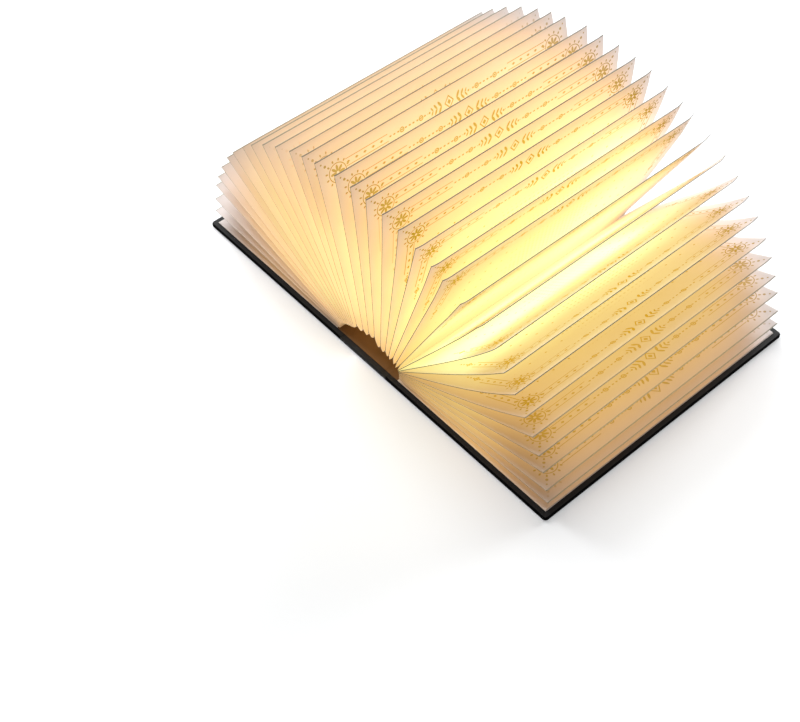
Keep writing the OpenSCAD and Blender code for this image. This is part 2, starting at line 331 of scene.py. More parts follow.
CLOTH = weave("cover_cloth_navy", (0.022, 0.036, 0.052))
# painted shade: darker, neutral copies of the navy cloth for the board edges and the turned-in border, which lie in
# shade
SHADED_EDGE_CLOTH = weave("cover_cloth_edge_painted_shade", (0.0024, 0.0026, 0.0030), rough=0.8, sheen=0.0, gloss=0.02)
SHADED_BORDER_CLOTH = weave("cover_cloth_turn_in_painted_shade", (0.010, 0.0103, 0.011), rough=0.65, sheen=0.0, gloss=0.18)
SPINE_CLOTH = weave("spine_cloth_black", (0.0075, 0.008, 0.0095), rough=0.6, sheen=0.0, gloss=0.2)
LINING = weave("lining_brown", (0.155, 0.083, 0.034), pitch=0.5, strength=0.25, rough=0.75, sheen=0.0, gloss=0.2)

GLOW = (1.0, 0.50, 0.14)      # warm white light seen through the paper
GLOW_STRONG = (0.85, 0.50, 0.14)
PAPER = (0.50, 0.465, 0.455)
HEAT, HEAT_FROM = 0.26, 0.72  # where the light is strongest it burns out towards white


def foil_material():
    t = Tree("pale_gold_foil")
    n = t.noise(260, 4, 0.65)
    t.set(Base_Color=t.mix(n, (0.70, 0.63, 0.40), (0.93, 0.88, 0.64)), Metallic=0.55)
    t.set(Roughness=t.m("MULTIPLY_ADD", t.noise(900, 2), 0.25, 0.28))
    t.set(Normal=t.bump(t.noise(1800, 2), 0.25, 0.00005))
    return t.mat


FOIL = foil_material()


def print_mask(t):
    """Printed border: distances in mm from the fore-edge fold (pd) and along the spine (py)."""
    a = t.attr("pd")
    yy = t.ab(t.attr("py"))
    b = t.sub(104.0, yy)
    e = t.low(a, b)
    far_a = t.outside(a, 21.0)
    far_b = t.outside(b, 21.0)
    corner = t.m("SUBTRACT", 1.0, t.mul(t.sub(1.0, far_a), t.sub(1.0, far_b)))
    depth = t.m("MAXIMUM", t.inside(a, b, 0.01), t.mul(t.inside(a, 66.0), t.m("MULTIPLY_ADD", t.attr("pk"), 8.0, -6.8, clamp=True)))
    mid_gap = t.high(t.outside(yy, 17.5), t.outside(a, 24.0))
    # double line with lozenges from the corners inwards, then one row of dots
    side = t.outside(a, b, 0.01)
    along = t.add(t.mul(side, a), t.mul(t.inside(a, b, 0.01), yy))
    on_line = t.mul(t.outside(yy, 50.0), t.inside(a, 26.0 + 22.0))
    l1 = t.inside(t.ab(t.sub(e, 8.4)), 0.26)
    l2 = t.inside(t.ab(t.sub(e, 13.4)), 0.26)
    lines = t.mul(t.high(l1, l2), on_line)
    ph = t.sub(t.m("FRACT", t.mul(along, 1 / 6.5)), 0.5)
    bead = t.inside(t.add(t.mul(t.ab(ph), 6.5), t.mul(t.ab(t.sub(e, 10.9)), 1.5)), 1.45)
    ph2 = t.sub(t.m("FRACT", t.mul(along, 1 / 3.1)), 0.5)
    dots = t.inside(t.length(t.mul(ph2, 3.1 * 0.62), t.sub(e, 10.9)), 0.56)
    ph3 = t.sub(t.m("FRACT", t.mul(along, 1 / 15.5)), 0.5)
    knot = t.inside(t.ab(t.sub(t.length(t.mul(ph3, 15.5), t.sub(e, 10.9)), 1.45)), 0.4)
    middle = t.mul(t.high(dots, knot), t.sub(1.0, on_line))
    border = t.mul(t.high(lines, t.mul(bead, on_line), middle), corner, depth, mid_gap)
    # corner: an eight-petalled rosette in a ring, with seeds round it
    ca, cb = t.sub(a, 14.0), t.sub(b, 14.0)
    r = t.length(ca, cb)
    phi = t.m("ARCTAN2", ca, cb)
    petal = t.ab(t.m("COSINE", t.mul(phi, 4.0)))
    rosette = t.mul(t.inside(r, t.m("MULTIPLY_ADD", petal, 3.9, 1.5), 0.1), t.outside(r, 1.0, 0.1))
    ring = t.inside(t.ab(t.sub(r, 6.4)), 0.34)
    sphi = t.mul(t.sub(t.m("FRACT", t.mul(phi, 12 / (2 * math.pi))), 0.5), 2 * math.pi / 12 * 8.3)
    seeds = t.inside(t.length(t.mul(sphi, 1.3), t.mul(t.sub(r, 8.3), 0.8)), 0.8)
    dot1 = t.inside(t.length(t.sub(a, 6.0), t.sub(b, 6.0)), 0.95)
    dot2 = t.inside(t.length(t.sub(a, 3.6), t.sub(b, 3.6)), 0.6)
    corners = t.high(rosette, ring, seeds, dot1, dot2)
    # middle of the fore-edge: a double lozenge between rows of leaves
    da = t.sub(a, 10.9)
    diamond = t.add(t.mul(t.ab(da), 0.8), yy)
    loz = t.high(t.inside(t.ab(t.sub(diamond, 3.4)), 0.5), t.inside(diamond, 1.5))
    leaves = None
    for yc, size in ((6.6, 3.5), (10.2, 3.0), (13.4, 2.3)):
        u = t.add(t.sub(yy, yc), t.mul(t.ab(da), -0.5))
        leaf = t.inside(t.length(t.mul(u, 2.3), t.sub(t.ab(da), size * 0.56)), size * 0.64, 0.1)
        leaves = leaf if leaves is None else t.high(leaves, leaf)
    tail = t.inside(t.length(da, t.sub(yy, 16.2)), 0.75)
    centre = t.high(loz, leaves, tail)
    # sprigs deeper in the page: rows of small seeds, denser towards the middle
    row = t.m("FLOOR", t.mul(a, 1 / 5.4))
    ga = t.mul(t.sub(t.m("FRACT", t.mul(a, 1 / 5.4)), 0.5), 5.4)
    gb = t.mul(t.sub(t.m("FRACT", t.m("MULTIPLY_ADD", t.attr("py"), 1 / 3.6, t.mul(row, 0.5))), 0.5), 3.6)
    field = t.inside(t.length(t.mul(gb, 0.75), t.add(ga, t.mul(gb, 0.45))), 0.52)
    reach = t.m("MULTIPLY_ADD", t.m("SINE", t.mul(row, 2.4)), 7.0, 33.0)
    field = t.mul(field, t.inside(yy, reach), t.outside(a, 24.5), t.inside(a, 78.0))
    ga2 = t.mul(t.sub(t.m("FRACT", t.mul(a, 1 / 10.8)), 0.5), 10.8)
    gb2 = t.mul(t.sub(t.m("FRACT", t.mul(t.attr("py"), 1 / 13.0)), 0.5), 13.0)
    star = t.inside(t.mul(t.m("POWER", t.ab(ga2), 0.6), 1.0), t.sub(1.15, t.m("POWER", t.ab(gb2), 0.6)))
    star = t.mul(star, t.outside(yy, 44.0), t.outside(a, 24.0), t.outside(b, 20.0), t.inside(a, 92.0))
    return t.high(border, corners, centre, t.mul(field, 0.8), star)


def page_material(name, printed=True):
    t = Tree(name)
    fibre = t.noise(420, 3, 0.6)
    cloud = t.noise(38, 3, 0.6)
    base = t.mix(t.m("MULTIPLY_ADD", fibre, 0.5, t.mul(cloud, 0.5)),
                 tuple(c * 0.955 for c in PAPER), tuple(min(1, c * 1.045) for c in PAPER))
    # painted light and shade: the paper colour is scaled per leaf, per side and near the tail edge
    base = t.scale_colour(base, t.attr("pa_painted_light"))
    # painted light: paler paper towards the head edge
    base = t.mix(t.attr("pc_painted_light"), base, (0.78, 0.745, 0.75))
    glow = t.attr("pg")
    glow = t.mul(glow, t.m("MULTIPLY_ADD", cloud, 0.12, 0.94))
    heat = t.add(t.m("MULTIPLY_ADD", glow, HEAT, -HEAT * HEAT_FROM, clamp=True), t.m("MULTIPLY_ADD", glow, 0.9, -0.9 * 1.22, clamp=True))
    strong = t.m("MULTIPLY_ADD", glow, 2.4, -0.36, clamp=True)
    tint = t.mix(strong, GLOW, GLOW_STRONG)
    tint = t.mix(t.m("MULTIPLY_ADD", glow, 2.0, -1.1, clamp=True), tint, (0.57, 0.50, 0.145))
    light = t.add_colour(t.scale_colour(tint, glow), t.scale_colour((0.75, 0.85, 0.62), heat))
    light = t.add_colour(light, t.scale_colour((0.86, 0.90, 0.90), t.attr("pw")))
    if printed:
        ink = t.mul(print_mask(t), t.attr("pk"))
        # the ink is painted paler where the painted light tone of the paper is high
        painted_lit_side = t.m("MULTIPLY_ADD", t.attr("pa_painted_light"), 3.3, -2.65, clamp=True)
        base = t.mix(ink, base, t.mix(painted_lit_side, (0.31, 0.19, 0.02), (0.34, 0.205, 0.03)))
        light = t.mix(ink, light, t.scale_colour(t.mix(painted_lit_side, (0.56, 0.315, 0.01), (0.52, 0.345, 0.012)), t.m("MINIMUM", glow, 1.35)))
    t.set(Base_Color=base, Roughness=t.m("MULTIPLY_ADD", fibre, 0.12, 0.74))
    t.set(Emission_Color=light, Emission_Strength=1.0)
    t.p.inputs["Specular IOR Level"].default_value = 0.25
    t.set(Normal=t.bump(t.noise(1500, 2), 0.08, 0.00006))
    return t.mat


PAGE = page_material("page_paper")


def line_material(name, colour, through):
    """Folds and cut edges of the pages, drawn as dark lines of painted shade; pf says how far they stand out from the
    sheet.
    """
    t = Tree(name)
    n = t.noise(300, 3, 0.6)
    f = t.attr("pf_painted_shade")
    dark = t.mix(n, tuple(c * 0.85 for c in colour), tuple(c * 1.15 for c in colour))
    # painted shade: the lines are painted darker still where the glow around them is strong
    dark = t.mix(t.m("MULTIPLY_ADD", t.attr("pg"), 0.9, -0.15, clamp=True), dark, (0.055, 0.052, 0.024))
    paper = t.mix(n, (0.37, 0.365, 0.30), (0.41, 0.405, 0.335))
    paper = t.scale_colour(paper, t.m("MULTIPLY", t.attr("pa_painted_light"), 0.8))
    t.set(Base_Color=t.mix(f, paper, dark), Roughness=t.m("MULTIPLY_ADD", n, 0.15, 0.72))
    t.set(Emission_Color=t.scale_colour((0.66, 0.42, 0.13), t.mul(t.attr("pg"), t.m("MULTIPLY_ADD", f, -through, 1.0))), Emission_Strength=1.0)
    t.set(Normal=t.bump(t.noise(1500, 2), 0.1, 0.00006))
    return t.mat


# dark lines of painted shade along the cut edges, the folds and the fold crests
PAGE_EDGE = line_material("page_cut_edge", (0.17, 0.165, 0.14), 1.0)
PAGE_FOLD = line_material("page_fold", (0.15, 0.148, 0.125), 1.0)
PAGE_RIM = line_material("page_fold_rim", (0.24, 0.25, 0.235), 1.0)
ENDPAPER = plain("endpaper", (0.62, 0.57, 0.54), rough=0.8, vary=0.05, scale=300)
BOARD = plain("grey_board", (0.30, 0.285, 0.25), rough=0.9, vary=0.18, scale=500, bump=0.4)
WHITE_PLASTIC = plain("white_plastic", (0.80, 0.79, 0.76), rough=0.38, vary=0.03, scale=90, bump=0.03)
BLACK_PLASTIC = plain("black_plastic", (0.02, 0.02, 0.021), rough=0.35, vary=0.1, scale=300)
STEEL = plain("steel", (0.55, 0.56, 0.58), rough=0.28, metal=1.0, vary=0.06, scale=400)
MAGNET = plain("nickel_plate", (0.62, 0.61, 0.58), rough=0.22, metal=1.0, vary=0.05, scale=250)
PCB = plain("circuit_board", (0.03, 0.13, 0.06), rough=0.35, vary=0.2, scale=350)
STRIP = plain("led_strip_tape", (0.72, 0.70, 0.62), rough=0.4, vary=0.04, scale=300)
POUCH = plain("battery_pouch", (0.45, 0.46, 0.48), rough=0.33, metal=0.6, vary=0.08, scale=120, bump=0.25)
WIRE = plain("wire_red", (0.45, 0.02, 0.015), rough=0.4, scale=400)


def opal():
    t = Tree("opal_diffuser")
    n = t.noise(60, 2)
    t.set(Base_Color=t.mix(n, (0.80, 0.76, 0.68), (0.88, 0.84, 0.77)), Roughness=t.m("MULTIPLY_ADD", n, 0.1, 0.42))
    t.set(Emission_Color=t.mix(n, (1.0, 0.66, 0.30), (1.0, 0.70, 0.34)), Emission_Strength=2.2)
    t.set(Normal=t.bump(t.noise(600, 2), 0.05, 0.0001))
    return t.mat


def led_glow():
    t = Tree("led_phosphor")
    n = t.noise(800, 2)
    t.set(Base_Color=t.mix(n, (0.85, 0.66, 0.20), (0.95, 0.78, 0.30)), Roughness=t.m("MULTIPLY_ADD", n, 0.1, 0.3))
    t.set(Emission_Color=t.mix(n, (1.0, 0.72, 0.36), (1.0, 0.76, 0.40)), Emission_Strength=5.0)
    return t.mat


OPAL, LED = opal(), led_glow()


# ======================================================================
# pleats
# ======================================================================
N, FAN, LEAN, WAVE = 33, 85.8, 3.5, 1.2

# light through the paper: by lean of the leaf (degrees), distance from the fold and from the head and tail edges (mm)
GLOW_K = 1.0
GLOW_LEAN = [-80, -60, -40, -20, 0, 15, 28, 38, 46, 54, 62, 70, 78, 86]
GLOW_LEVEL = [0.03, 0.16, 0.43, 0.50, 0.58, 0.66, 0.80, 0.92, 0.91, 0.84, 0.75, 0.62, 0.46, 0.27]
GLOW_TURN = [-80, -60, -40, -20, 20, 38, 50, 62, 80]
GLOW_NEAR = [8.8, 5.6, 2.1, 1.1, 0.76, 0.0, -0.1, -0.12, 0.9]
GLOW_DEEP = [2.1, -0.6, -0.25, 0.65, 0.03, -0.1, 0.0, 0.3, 1.7]
GLOW_RISE = 41.0
GLOW_TAIL_LEAN = [-80, 0, 30, 45, 60, 75, 88]
GLOW_TAIL = [0.82, 0.54, 0.60, 0.95, 0.63, 0.37, 0.46]
GLOW_TAIL_REACH = 22.0
GLOW_HEAD, GLOW_HEAD_EDGE = 21.0, 14.0
GLOW_HOT = 0.72


def pu(i):
    return (i - (N + 1) / 2) / ((N - 1) / 2)


def pth(i):
    u = pu(i)
    return math.radians(FAN * u + (LEAN - WAVE * math.sin(math.radians(20 * i))) * (1 - u * u))


def pv(i):
    return np.array([30 * math.sin(pth(i)), 4 + 14.2 * math.cos(pth(i))])


def plen(i):
    return 147.8 - (10.7 + 7.5 * math.cos(pth(i)))


def smooth(x, a, b):
    t = np.clip((np.asarray(x, float) - a) / (b - a), 0, 1)
    return t * t * (3 - 2 * t)


def sag(i, s, y):
    """How far the middle of a leaf hangs below its straight line, in mm, towards +X for positive."""
    amount = 3.0 * math.exp(-((i - 27.4) / 1.7) ** 2) + 0.9 * math.exp(-((i - 30.5) / 1.8) ** 2)
    amount += -0.8 * math.exp(-((i - 7.0) / 4.0) ** 2) + 0.35 * math.sin(2.1 * i)
    amount *= 1 - 0.25 * np.abs(y) / 104 * 0 - 0.3 * smooth(y, -60, 100)
    return amount * 4 * s * (1 - s) * (0.55 + 0.9 * s)


def curl(i, d, y):
    """Corners of the leaf turned slightly up near the fore-edge, in mm."""
    far = np.maximum(np.asarray(y) - 97.5, 0) / 6.5
    near = np.maximum(-np.asarray(y) - 98.5, 0) / 5.5 * (1 - smooth(i, 25, 28))
    k = math.exp(-((i - 23.0) / 4.5) ** 2)
    lift = (0.35 + 1.25 * k) * far ** 1.6 + (0.25 + 0.5 * k) * near ** 1.8
    return -lift * np.clip(1 - np.asarray(d) / 26.0, 0, 1) ** 1.5


def glow(i, d, y):
    """Strength of the light that comes through the paper, d mm from the fore-edge fold."""
    th = math.degrees(pth(i)) if 1 <= i <= N else (90 if i > N else -90)
    d = np.asarray(d, float)
    y = np.asarray(y, float)
    k = np.interp(th, GLOW_LEAN, GLOW_LEVEL)
    near, deep = np.interp(th, GLOW_TURN, GLOW_NEAR), np.interp(th, GLOW_TURN, GLOW_DEEP)
    body = 1 + near * (1 - np.exp(-d / GLOW_RISE)) + deep * smooth(d, 22, 75)
    tail = 1 - (1 - np.interp(th, GLOW_TAIL_LEAN, GLOW_TAIL)) * np.exp(-(104 + y) / GLOW_TAIL_REACH)
    head = 1 - np.exp(-((104 - y + 7) / (GLOW_HEAD + GLOW_HEAD_EDGE * np.exp(-d / 18))) ** 1.8)
    hot = GLOW_HOT * math.exp(-((th - 43) / 8) ** 2) * smooth(d, 16, 50) * (1 - 0.6 * smooth(d, 60, 120)) * np.clip(head, 0, 1)
    hot = hot * (1 - 0.55 * smooth(y, 28, 84))
    foot = 1 - (0.45 - 0.38 * np.exp(-((th - 38) / 12) ** 2)) * smooth(d, 105, 140)
    return GLOW_K * (k * body * tail * head + hot) * foot


def painted_light_tone(i):
    """Painted light and shade on each leaf, as a multiplier on the paper colour against the mean: sheets facing the
    soft light are painted paler, the others darker.
    """
    return float(np.interp(i, [1, 5, 6.5, 8, 11, 17, 19, 21, 22, 24, 30, 32, 33], [1.28, 1.24, 1.04, 1.08, 1.3, 1.35, 1.3, 1.15, 1.0, 0.76, 0.72, 0.88, 1.02]))


def fold_shade_tone(i):
    """How strongly the folded edges show as dark lines of painted shade."""
    return float(np.interp(i, [1, 6, 9, 13, 17, 27, 28, 30, 31, 33], [0.2, 0.35, 0.5, 0.75, 0.95, 1.0, 0.7, 0.45, 0.25, 0.15]))


def ink_tone(i):
    """Strength of the gold print; the first sheets carry next to none."""
    return float(np.interp(i, [1, 8, 11, 12, 14, 18, 19, 28, 29, 32, 33], [0.0, 0.0, 0.18, 0.5, 0.85, 0.92, 1.0, 1.0, 0.84, 0.75, 0.35]))


def painted_light_paleness(d, y):
    """Painted light: the paper is painted paler towards the head edge and the outer corners, where more light falls.
    """
    d, y = np.asarray(d, float), np.asarray(y, float)
    return np.clip(0.5 * smooth(y, 74, 101) * (1 - 0.5 * smooth(d, 30, 90)) , 0, 1)


def whiteness(i, d, y):
    """Part of the light that is burnt out to white, deep in the opened middle towards the head edge."""
    d, y = np.asarray(d, float), np.asarray(y, float)
    a = np.interp(i, [13, 15, 17, 19, 20.5, 22.5, 24.5, 26.5, 28], [0, 0.05, 0.08, 0.15, 0.30, 0.10, 0.07, 0.06, 0])
    b = np.interp(i, [23, 24.3, 26, 27], [0, 0.02, 0.01, 0])
    return a * smooth(y, -45, 55) * smooth(d, 8, 62) + b * smooth(d, 8, 45) * (1 - 0.5 * smooth(-y, 60, 104))


# unevenness of the fan: lean of each leaf off its even place, in degrees
TILT = [-0.2, -1.0, -0.2, -1.3, -1.2, -0.1, -1.1, 0.4, -0.5, -0.5, -0.5, -0.3, -1.4, -2.4, -0.4, -0.3, -0.3,
        0.0, 0.2, 0.8, 0.8, -0.9, 0.0, 0.6, 0.7, 0.5, 0.3, 0.8, 0.7, 0.8, 0.7, 1.6, 0.8]
# arch of the valley folds over the light bar: valley number, x and z
ARCH = [(0, -28.0, 5.2), (2, -27.8, 7.6), (3, -27.2, 9.2), (4, -26.3, 10.6), (5, -24.9, 12.0), (6, -23.2, 13.3), (8, -19.2, 15.5), (10, -15.4, 17.2), (12, -13.0, 18.4),
        (13, -11.4, 19.4), (14, -4.7, 21.6), (15, 1.1, 22.6), (16, 6.2, 24.6), (17, 12.5, 20.6), (18, 16.8, 19.8), (19, 21.2, 19.2),
        (20, 23.2, 18.0), (21, 27.3, 16.8), (22, 28.9, 14.6), (23, 31.2, 14.4), (25, 32.0, 13.6), (28, 32.4, 12.2), (31, 32.2, 9.2), (33, 31.8, 5.8)]
NOTCH = [(1, 6.0), (12, 5.0), (14, 4.2), (18, 3.2), (20, 5.2), (21, 7.0), (22, 9.5), (23, 9.5), (24, 5.5), (33, 5.0)]


def valley(j):
    """Tip of the valley fold between pleats j and j+1, as (x, z): a slightly uneven arch over the light bar."""
    jj = [p[0] for p in ARCH]
    return np.array([np.interp(j, jj, [p[1] for p in ARCH]), np.interp(j, jj, [p[2] for p in ARCH])])


def make_pleat(i):
    """One pleat: two sheets lying together from the fore-edge fold down, opening to the valley folds at its foot."""
    th0, L0, V0 = pth(i), plen(i), pv(i)
    lean = th0 + math.radians(TILT[i - 1])
    R = V0 + L0 * np.array([math.sin(lean), math.cos(lean)])
    V = 0.5 * (valley(i) + valley(i - 1))
    L = float(np.hypot(*(R - V)))
    t = (R - V) / L
    n = np.array([t[1], -t[0]])
    mr, ml = valley(i) - V, valley(i - 1) - V
    feet = ((mr @ t, mr @ n), (ml @ t, ml @ n))
    tip, half, sheet = L - 0.26, 0.2, 0.17
    split = max(feet[0][0], feet[1][0]) + float(np.interp(i, [p[0] for p in NOTCH], [p[1] for p in NOTCH]))
    up = np.array([0.0, 0.04, 0.1, 0.2, 0.3, 0.4, 0.5, 0.6, 0.7, 0.8, 0.87, 0.92, 0.955, 0.98])
    ys = np.concatenate([[-104, -103.2, -102, -100.5, -98, -94], np.linspace(-88, 88, 23), [94, 98, 100.5, 102, 103.2, 104]])
    ny = len(ys)

    def side(foot, sign):
        a0, b0 = foot
        b0 -= sign * 0.03
        low = []
        for s in (0.0, 0.12, 0.3, 0.5, 0.72):
            low.append((a0 + (split - a0) * s, sign * half + (b0 - sign * half) * (1 - s) ** 1.7))
        high = [(split + (tip - 0.42 - split) * s, sign * half) for s in up] + [(tip - 0.42, sign * half), (tip, sign * (half + 0.05))]
        inner = [(a, b - sign * sheet) for a, b in low[:-1]] + [(low[-1][0], sign * 0.02)]
        return low + high, inner

    outr, inr = side(feet[0], 1)
    outl, inl = side(feet[1], -1)
    k, ki = len(outr), len(inr)
    cap = [(tip + 0.25 * math.cos(p), 0.25 * math.sin(p)) for p in np.radians([50, 0, -50])]
    loop = outr + cap + outl[::-1] + inl + [(split, 0.0)] + inr[::-1]
    m = len(loop)
    lp = np.array(loop)
    verts, pd, py, pg = [], [], [], []
    for y in ys:
        d = np.maximum(L - lp[:, 0], 0.0)
        s = np.clip(lp[:, 0] / L, 0, 1)
        off = lp[:, 1] + sag(i, s, y) + curl(i, d, y)
        x = V[0] + lp[:, 0] * t[0] + off * n[0]
        z = V[1] + lp[:, 0] * t[1] + off * n[1]
        verts += [(x[q], y, z[q]) for q in range(m)]
        pd += list(d)
        py += [y] * m
        pg += list(glow(i, d, y))
    fold = set(range(k - 2, k + 4))
    il0 = 2 * k + 3                                    # first point of the left inner surface
    apex = il0 + ki
    foot = {il0 - 1, m - 1}
    faces, mats = [], []
    for r in range(ny - 1):
        for q in range(m):
            q2 = (q + 1) % m
            faces.append((r * m + q, r * m + q2, (r + 1) * m + q2, (r + 1) * m + q))
            mats.append(2 if q in (k - 2, k + 3) else (3 if q in fold else (1 if q in foot else 0)))
    for end, r in ((0, 0), (1, ny - 1)):
        o = r * m
        caps = []
        for q in range(ki - 1):
            caps.append((q, q + 1, m - 2 - q, m - 1 - q))                       # right foot
            caps.append((il0 - 2 - q, il0 - 1 - q, il0 + q, il0 + q + 1))       # left foot
        rq, lq = ki - 1, il0 - ki                      # last foot points of the outer surfaces
        caps.append((rq, rq + 1, apex, apex + 1))
        caps.append((lq - 1, lq, apex - 1, apex))
        caps.append((rq + 1, rq + 2, lq - 2, lq - 1, apex))
        for q in range(rq + 2, k - 1):
            caps.append((q, q + 1, il0 - 2 - q, il0 - 1 - q))
        caps.append((k - 1, k, k + 1, k + 2, k + 3))
        for c in caps:
            f = tuple(o + v for v in c)
            faces.append(f if end else f[::-1])
            mats.append(1)
    name = "leaf_%02d_paper" % i
    ob = mesh_object(name, verts, faces, [PAGE, PAGE_EDGE, PAGE_FOLD, PAGE_RIM], mats, sharp=50)
    point_attribute(ob, "pd", pd)
    point_attribute(ob, "py", py)
    point_attribute(ob, "pg", pg)
    point_attribute(ob, "pc_painted_light", painted_light_paleness(pd, py))
    point_attribute(ob, "pw", whiteness(i, pd, py))
    shade = 0.62 if i <= 20 else 1.0                   # painted shade: the sides turned towards the soft lights are painted duller so they do not burn out
    tone = np.full(m, painted_light_tone(i))
    tone[k + 3:2 * k + 3] *= shade
    # painted shade: from leaf 25 on, the paper is darkened right at the tail edge, where more light reaches it
    edge = 1 - (0.32 if i >= 25 else 0.0) * np.exp(-(104 + ys) / 1.7)
    point_attribute(ob, "pa_painted_light", (edge[:, None] * tone[None, :]).ravel())
    point_attribute(ob, "pf_painted_shade", [fold_shade_tone(i)] * len(pd))
    point_attribute(ob, "pk", [ink_tone(i)] * len(pd))
    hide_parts("pleat_%02d" % i)
    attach(ob, "leaf_%02d" % i)
    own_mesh(ob)
    return ob


for i in range(1, N + 1):
    make_pleat(i)


# ======================================================================
# case: cloth wrapped round the boards
# ======================================================================
def rounded(x0, x1, y0, y1, radii, o, seg=6):
    """Closed outline of a rectangle moved in by o, anticlockwise. radii: (x0y0, x1y0, x1y1, x0y1)."""
    pts = []
    for (cx, sx), (cy, sy), r0, a0 in (((x0, 1), (y0, 1), radii[0], 180), ((x1, -1), (y0, 1), radii[1], 270),
                                       ((x1, -1), (y1, -1), radii[2], 0), ((x0, 1), (y1, -1), radii[3], 90)):
        r = max(r0 - o, 0.15)
        px, py = cx + sx * (o + r), cy + sy * (o + r)
        for j in range(seg + 1):
            a = math.radians(a0 + 90 * j / seg)
            pts.append((px + r * math.cos(a), py + r * math.sin(a)))
    return pts


def wrapped(name, x0, x1, hy, radii, flange, mats, outer_index=0, shaded_edge_index=1, shaded_border_index=2, inset=0.3, z0=0.06):
    """Cloth over a board: outer face, rounded edges, turned-in border, and the inner skin against the board."""
    rr = 0.75
    prof = [(1.5, z0)]
    prof += [(rr - rr * math.sin(a), z0 + rr - rr * math.cos(a)) for a in np.radians([0, 18, 36, 54, 72, 90])]
    prof += [(0, 1.2), (0, 1.9)]
    prof += [(rr - rr * math.cos(a), 3.0 - rr + rr * math.sin(a)) for a in np.radians([0, 18, 36, 54, 72, 90])]
    prof += [(4.0, 3.0), (flange - 0.1, 3.0), (flange, 2.9), (flange, 2.72), (inset, 2.7), (inset, 0.3), (1.5, 0.3)]
    nz = 1                                             # faces up to here belong to the outer side
    loops = [rounded(x0, x1, -hy, hy, radii, o) for o, _ in prof]
    m = len(loops[0])
    verts = [(p[0], p[1], z) for lp, (_, z) in zip(loops, prof) for p in lp]
    faces, fm = [], []
    for a in range(len(prof) - 1):
        for q in range(m):
            q2 = (q + 1) % m
            faces.append((a * m + q, (a + 1) * m + q, (a + 1) * m + q2, a * m + q2))
            # the rounded edges and the turned-in border take the darker copies of the cloth: painted shade
            fm.append(outer_index if a < nz + 2 else shaded_edge_index if a < 14 else shaded_border_index)
    faces.append(tuple(range(m))[::-1])
    fm.append(outer_index)
    last = (len(prof) - 1) * m
    faces.append(tuple(last + q for q in range(m)))
    fm.append(shaded_edge_index)
    faces = [f[::-1] if k < len(faces) - 2 else f for k, f in enumerate(faces)]
    return mesh_object(name, verts, faces, mats, fm, sharp=40)


def flip_check(ob):
    """Points the faces outwards."""
    import bmesh
    bm = bmesh.new()
    bm.from_mesh(ob.data)
    bmesh.ops.recalc_face_normals(bm, faces=bm.faces)
    bm.to_mesh(ob.data)
    bm.free()
    return ob


front_case = flip_check(wrapped("front_cover_cloth", -169.0, -22.35, 108.0, (2.5, 1.0, 1.0, 2.5), 12, [CLOTH, SHADED_EDGE_CLOTH, SHADED_BORDER_CLOTH]))
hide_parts("front_cloth")
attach(front_case, "front_cover")
back_case = flip_check(wrapped("back_cover_cloth", 22.35, 169.0, 108.0, (1.0, 2.5, 2.5, 1.0), 12, [CLOTH, SHADED_EDGE_CLOTH, SHADED_BORDER_CLOTH]))
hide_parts("back_cloth")
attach(back_case, "back_cover")
spine_case = flip_check(wrapped("spine_cloth_wrap", -18.55, 18.55, 108.0, (0.8, 0.8, 0.8, 0.8), 12, [SPINE_CLOTH, SPINE_CLOTH, SPINE_CLOTH], inset=0.2))
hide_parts("spine_cloth")
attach(spine_case, "spine")


def strip(name, xs, section, hy, mat, side):
    """A strip along the spine joint: xs across, section(x) gives (z_low, z_high)."""
    ys = np.linspace(-hy, hy, 9)
    verts, faces = [], []
    m = 2 * len(xs)
    for y in ys:
        for x in xs:
            verts.append((side * x, y, section(x)[1]))
        for x in xs[::-1]:
            verts.append((side * x, y, section(x)[0]))
    for r in range(len(ys) - 1):
        for q in range(m):
            q2 = (q + 1) % m
            faces.append((r * m + q, r * m + q2, (r + 1) * m + q2, (r + 1) * m + q))
    k = len(xs)
    for r, rev in ((0, False), (len(ys) - 1, True)):
        for q in range(k - 1):
            f = (r * m + q, r * m + q + 1, r * m + m - 2 - q, r * m + m - 1 - q)
            faces.append(f[::-1] if rev else f)
    return flip_check(mesh_object(name, verts, faces, [mat], sharp=60))


for side, body, word in ((-1, "front_cover", "front"), (1, "back_cover", "back")):
    xs = np.linspace(18.0, 23.0, 15)
    cloth = strip(word + "_joint_cloth", xs, lambda x: (0.62 - 0.56 * (abs(x - 20.5) / 2.5) ** 2.2, 2.72 + 0.26 * (abs(x - 20.5) / 2.5) ** 2), 107.9, SPINE_CLOTH, side)
    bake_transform(cloth)
    lining = strip(word + "_joint_lining", xs, lambda x: (2.76 + 0.26 * (abs(x - 20.5) / 2.5) ** 2, 3.02 + 0.28 * (abs(x - 20.5) / 2.5) ** 2), 103.9, LINING, side)
    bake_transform(lining)


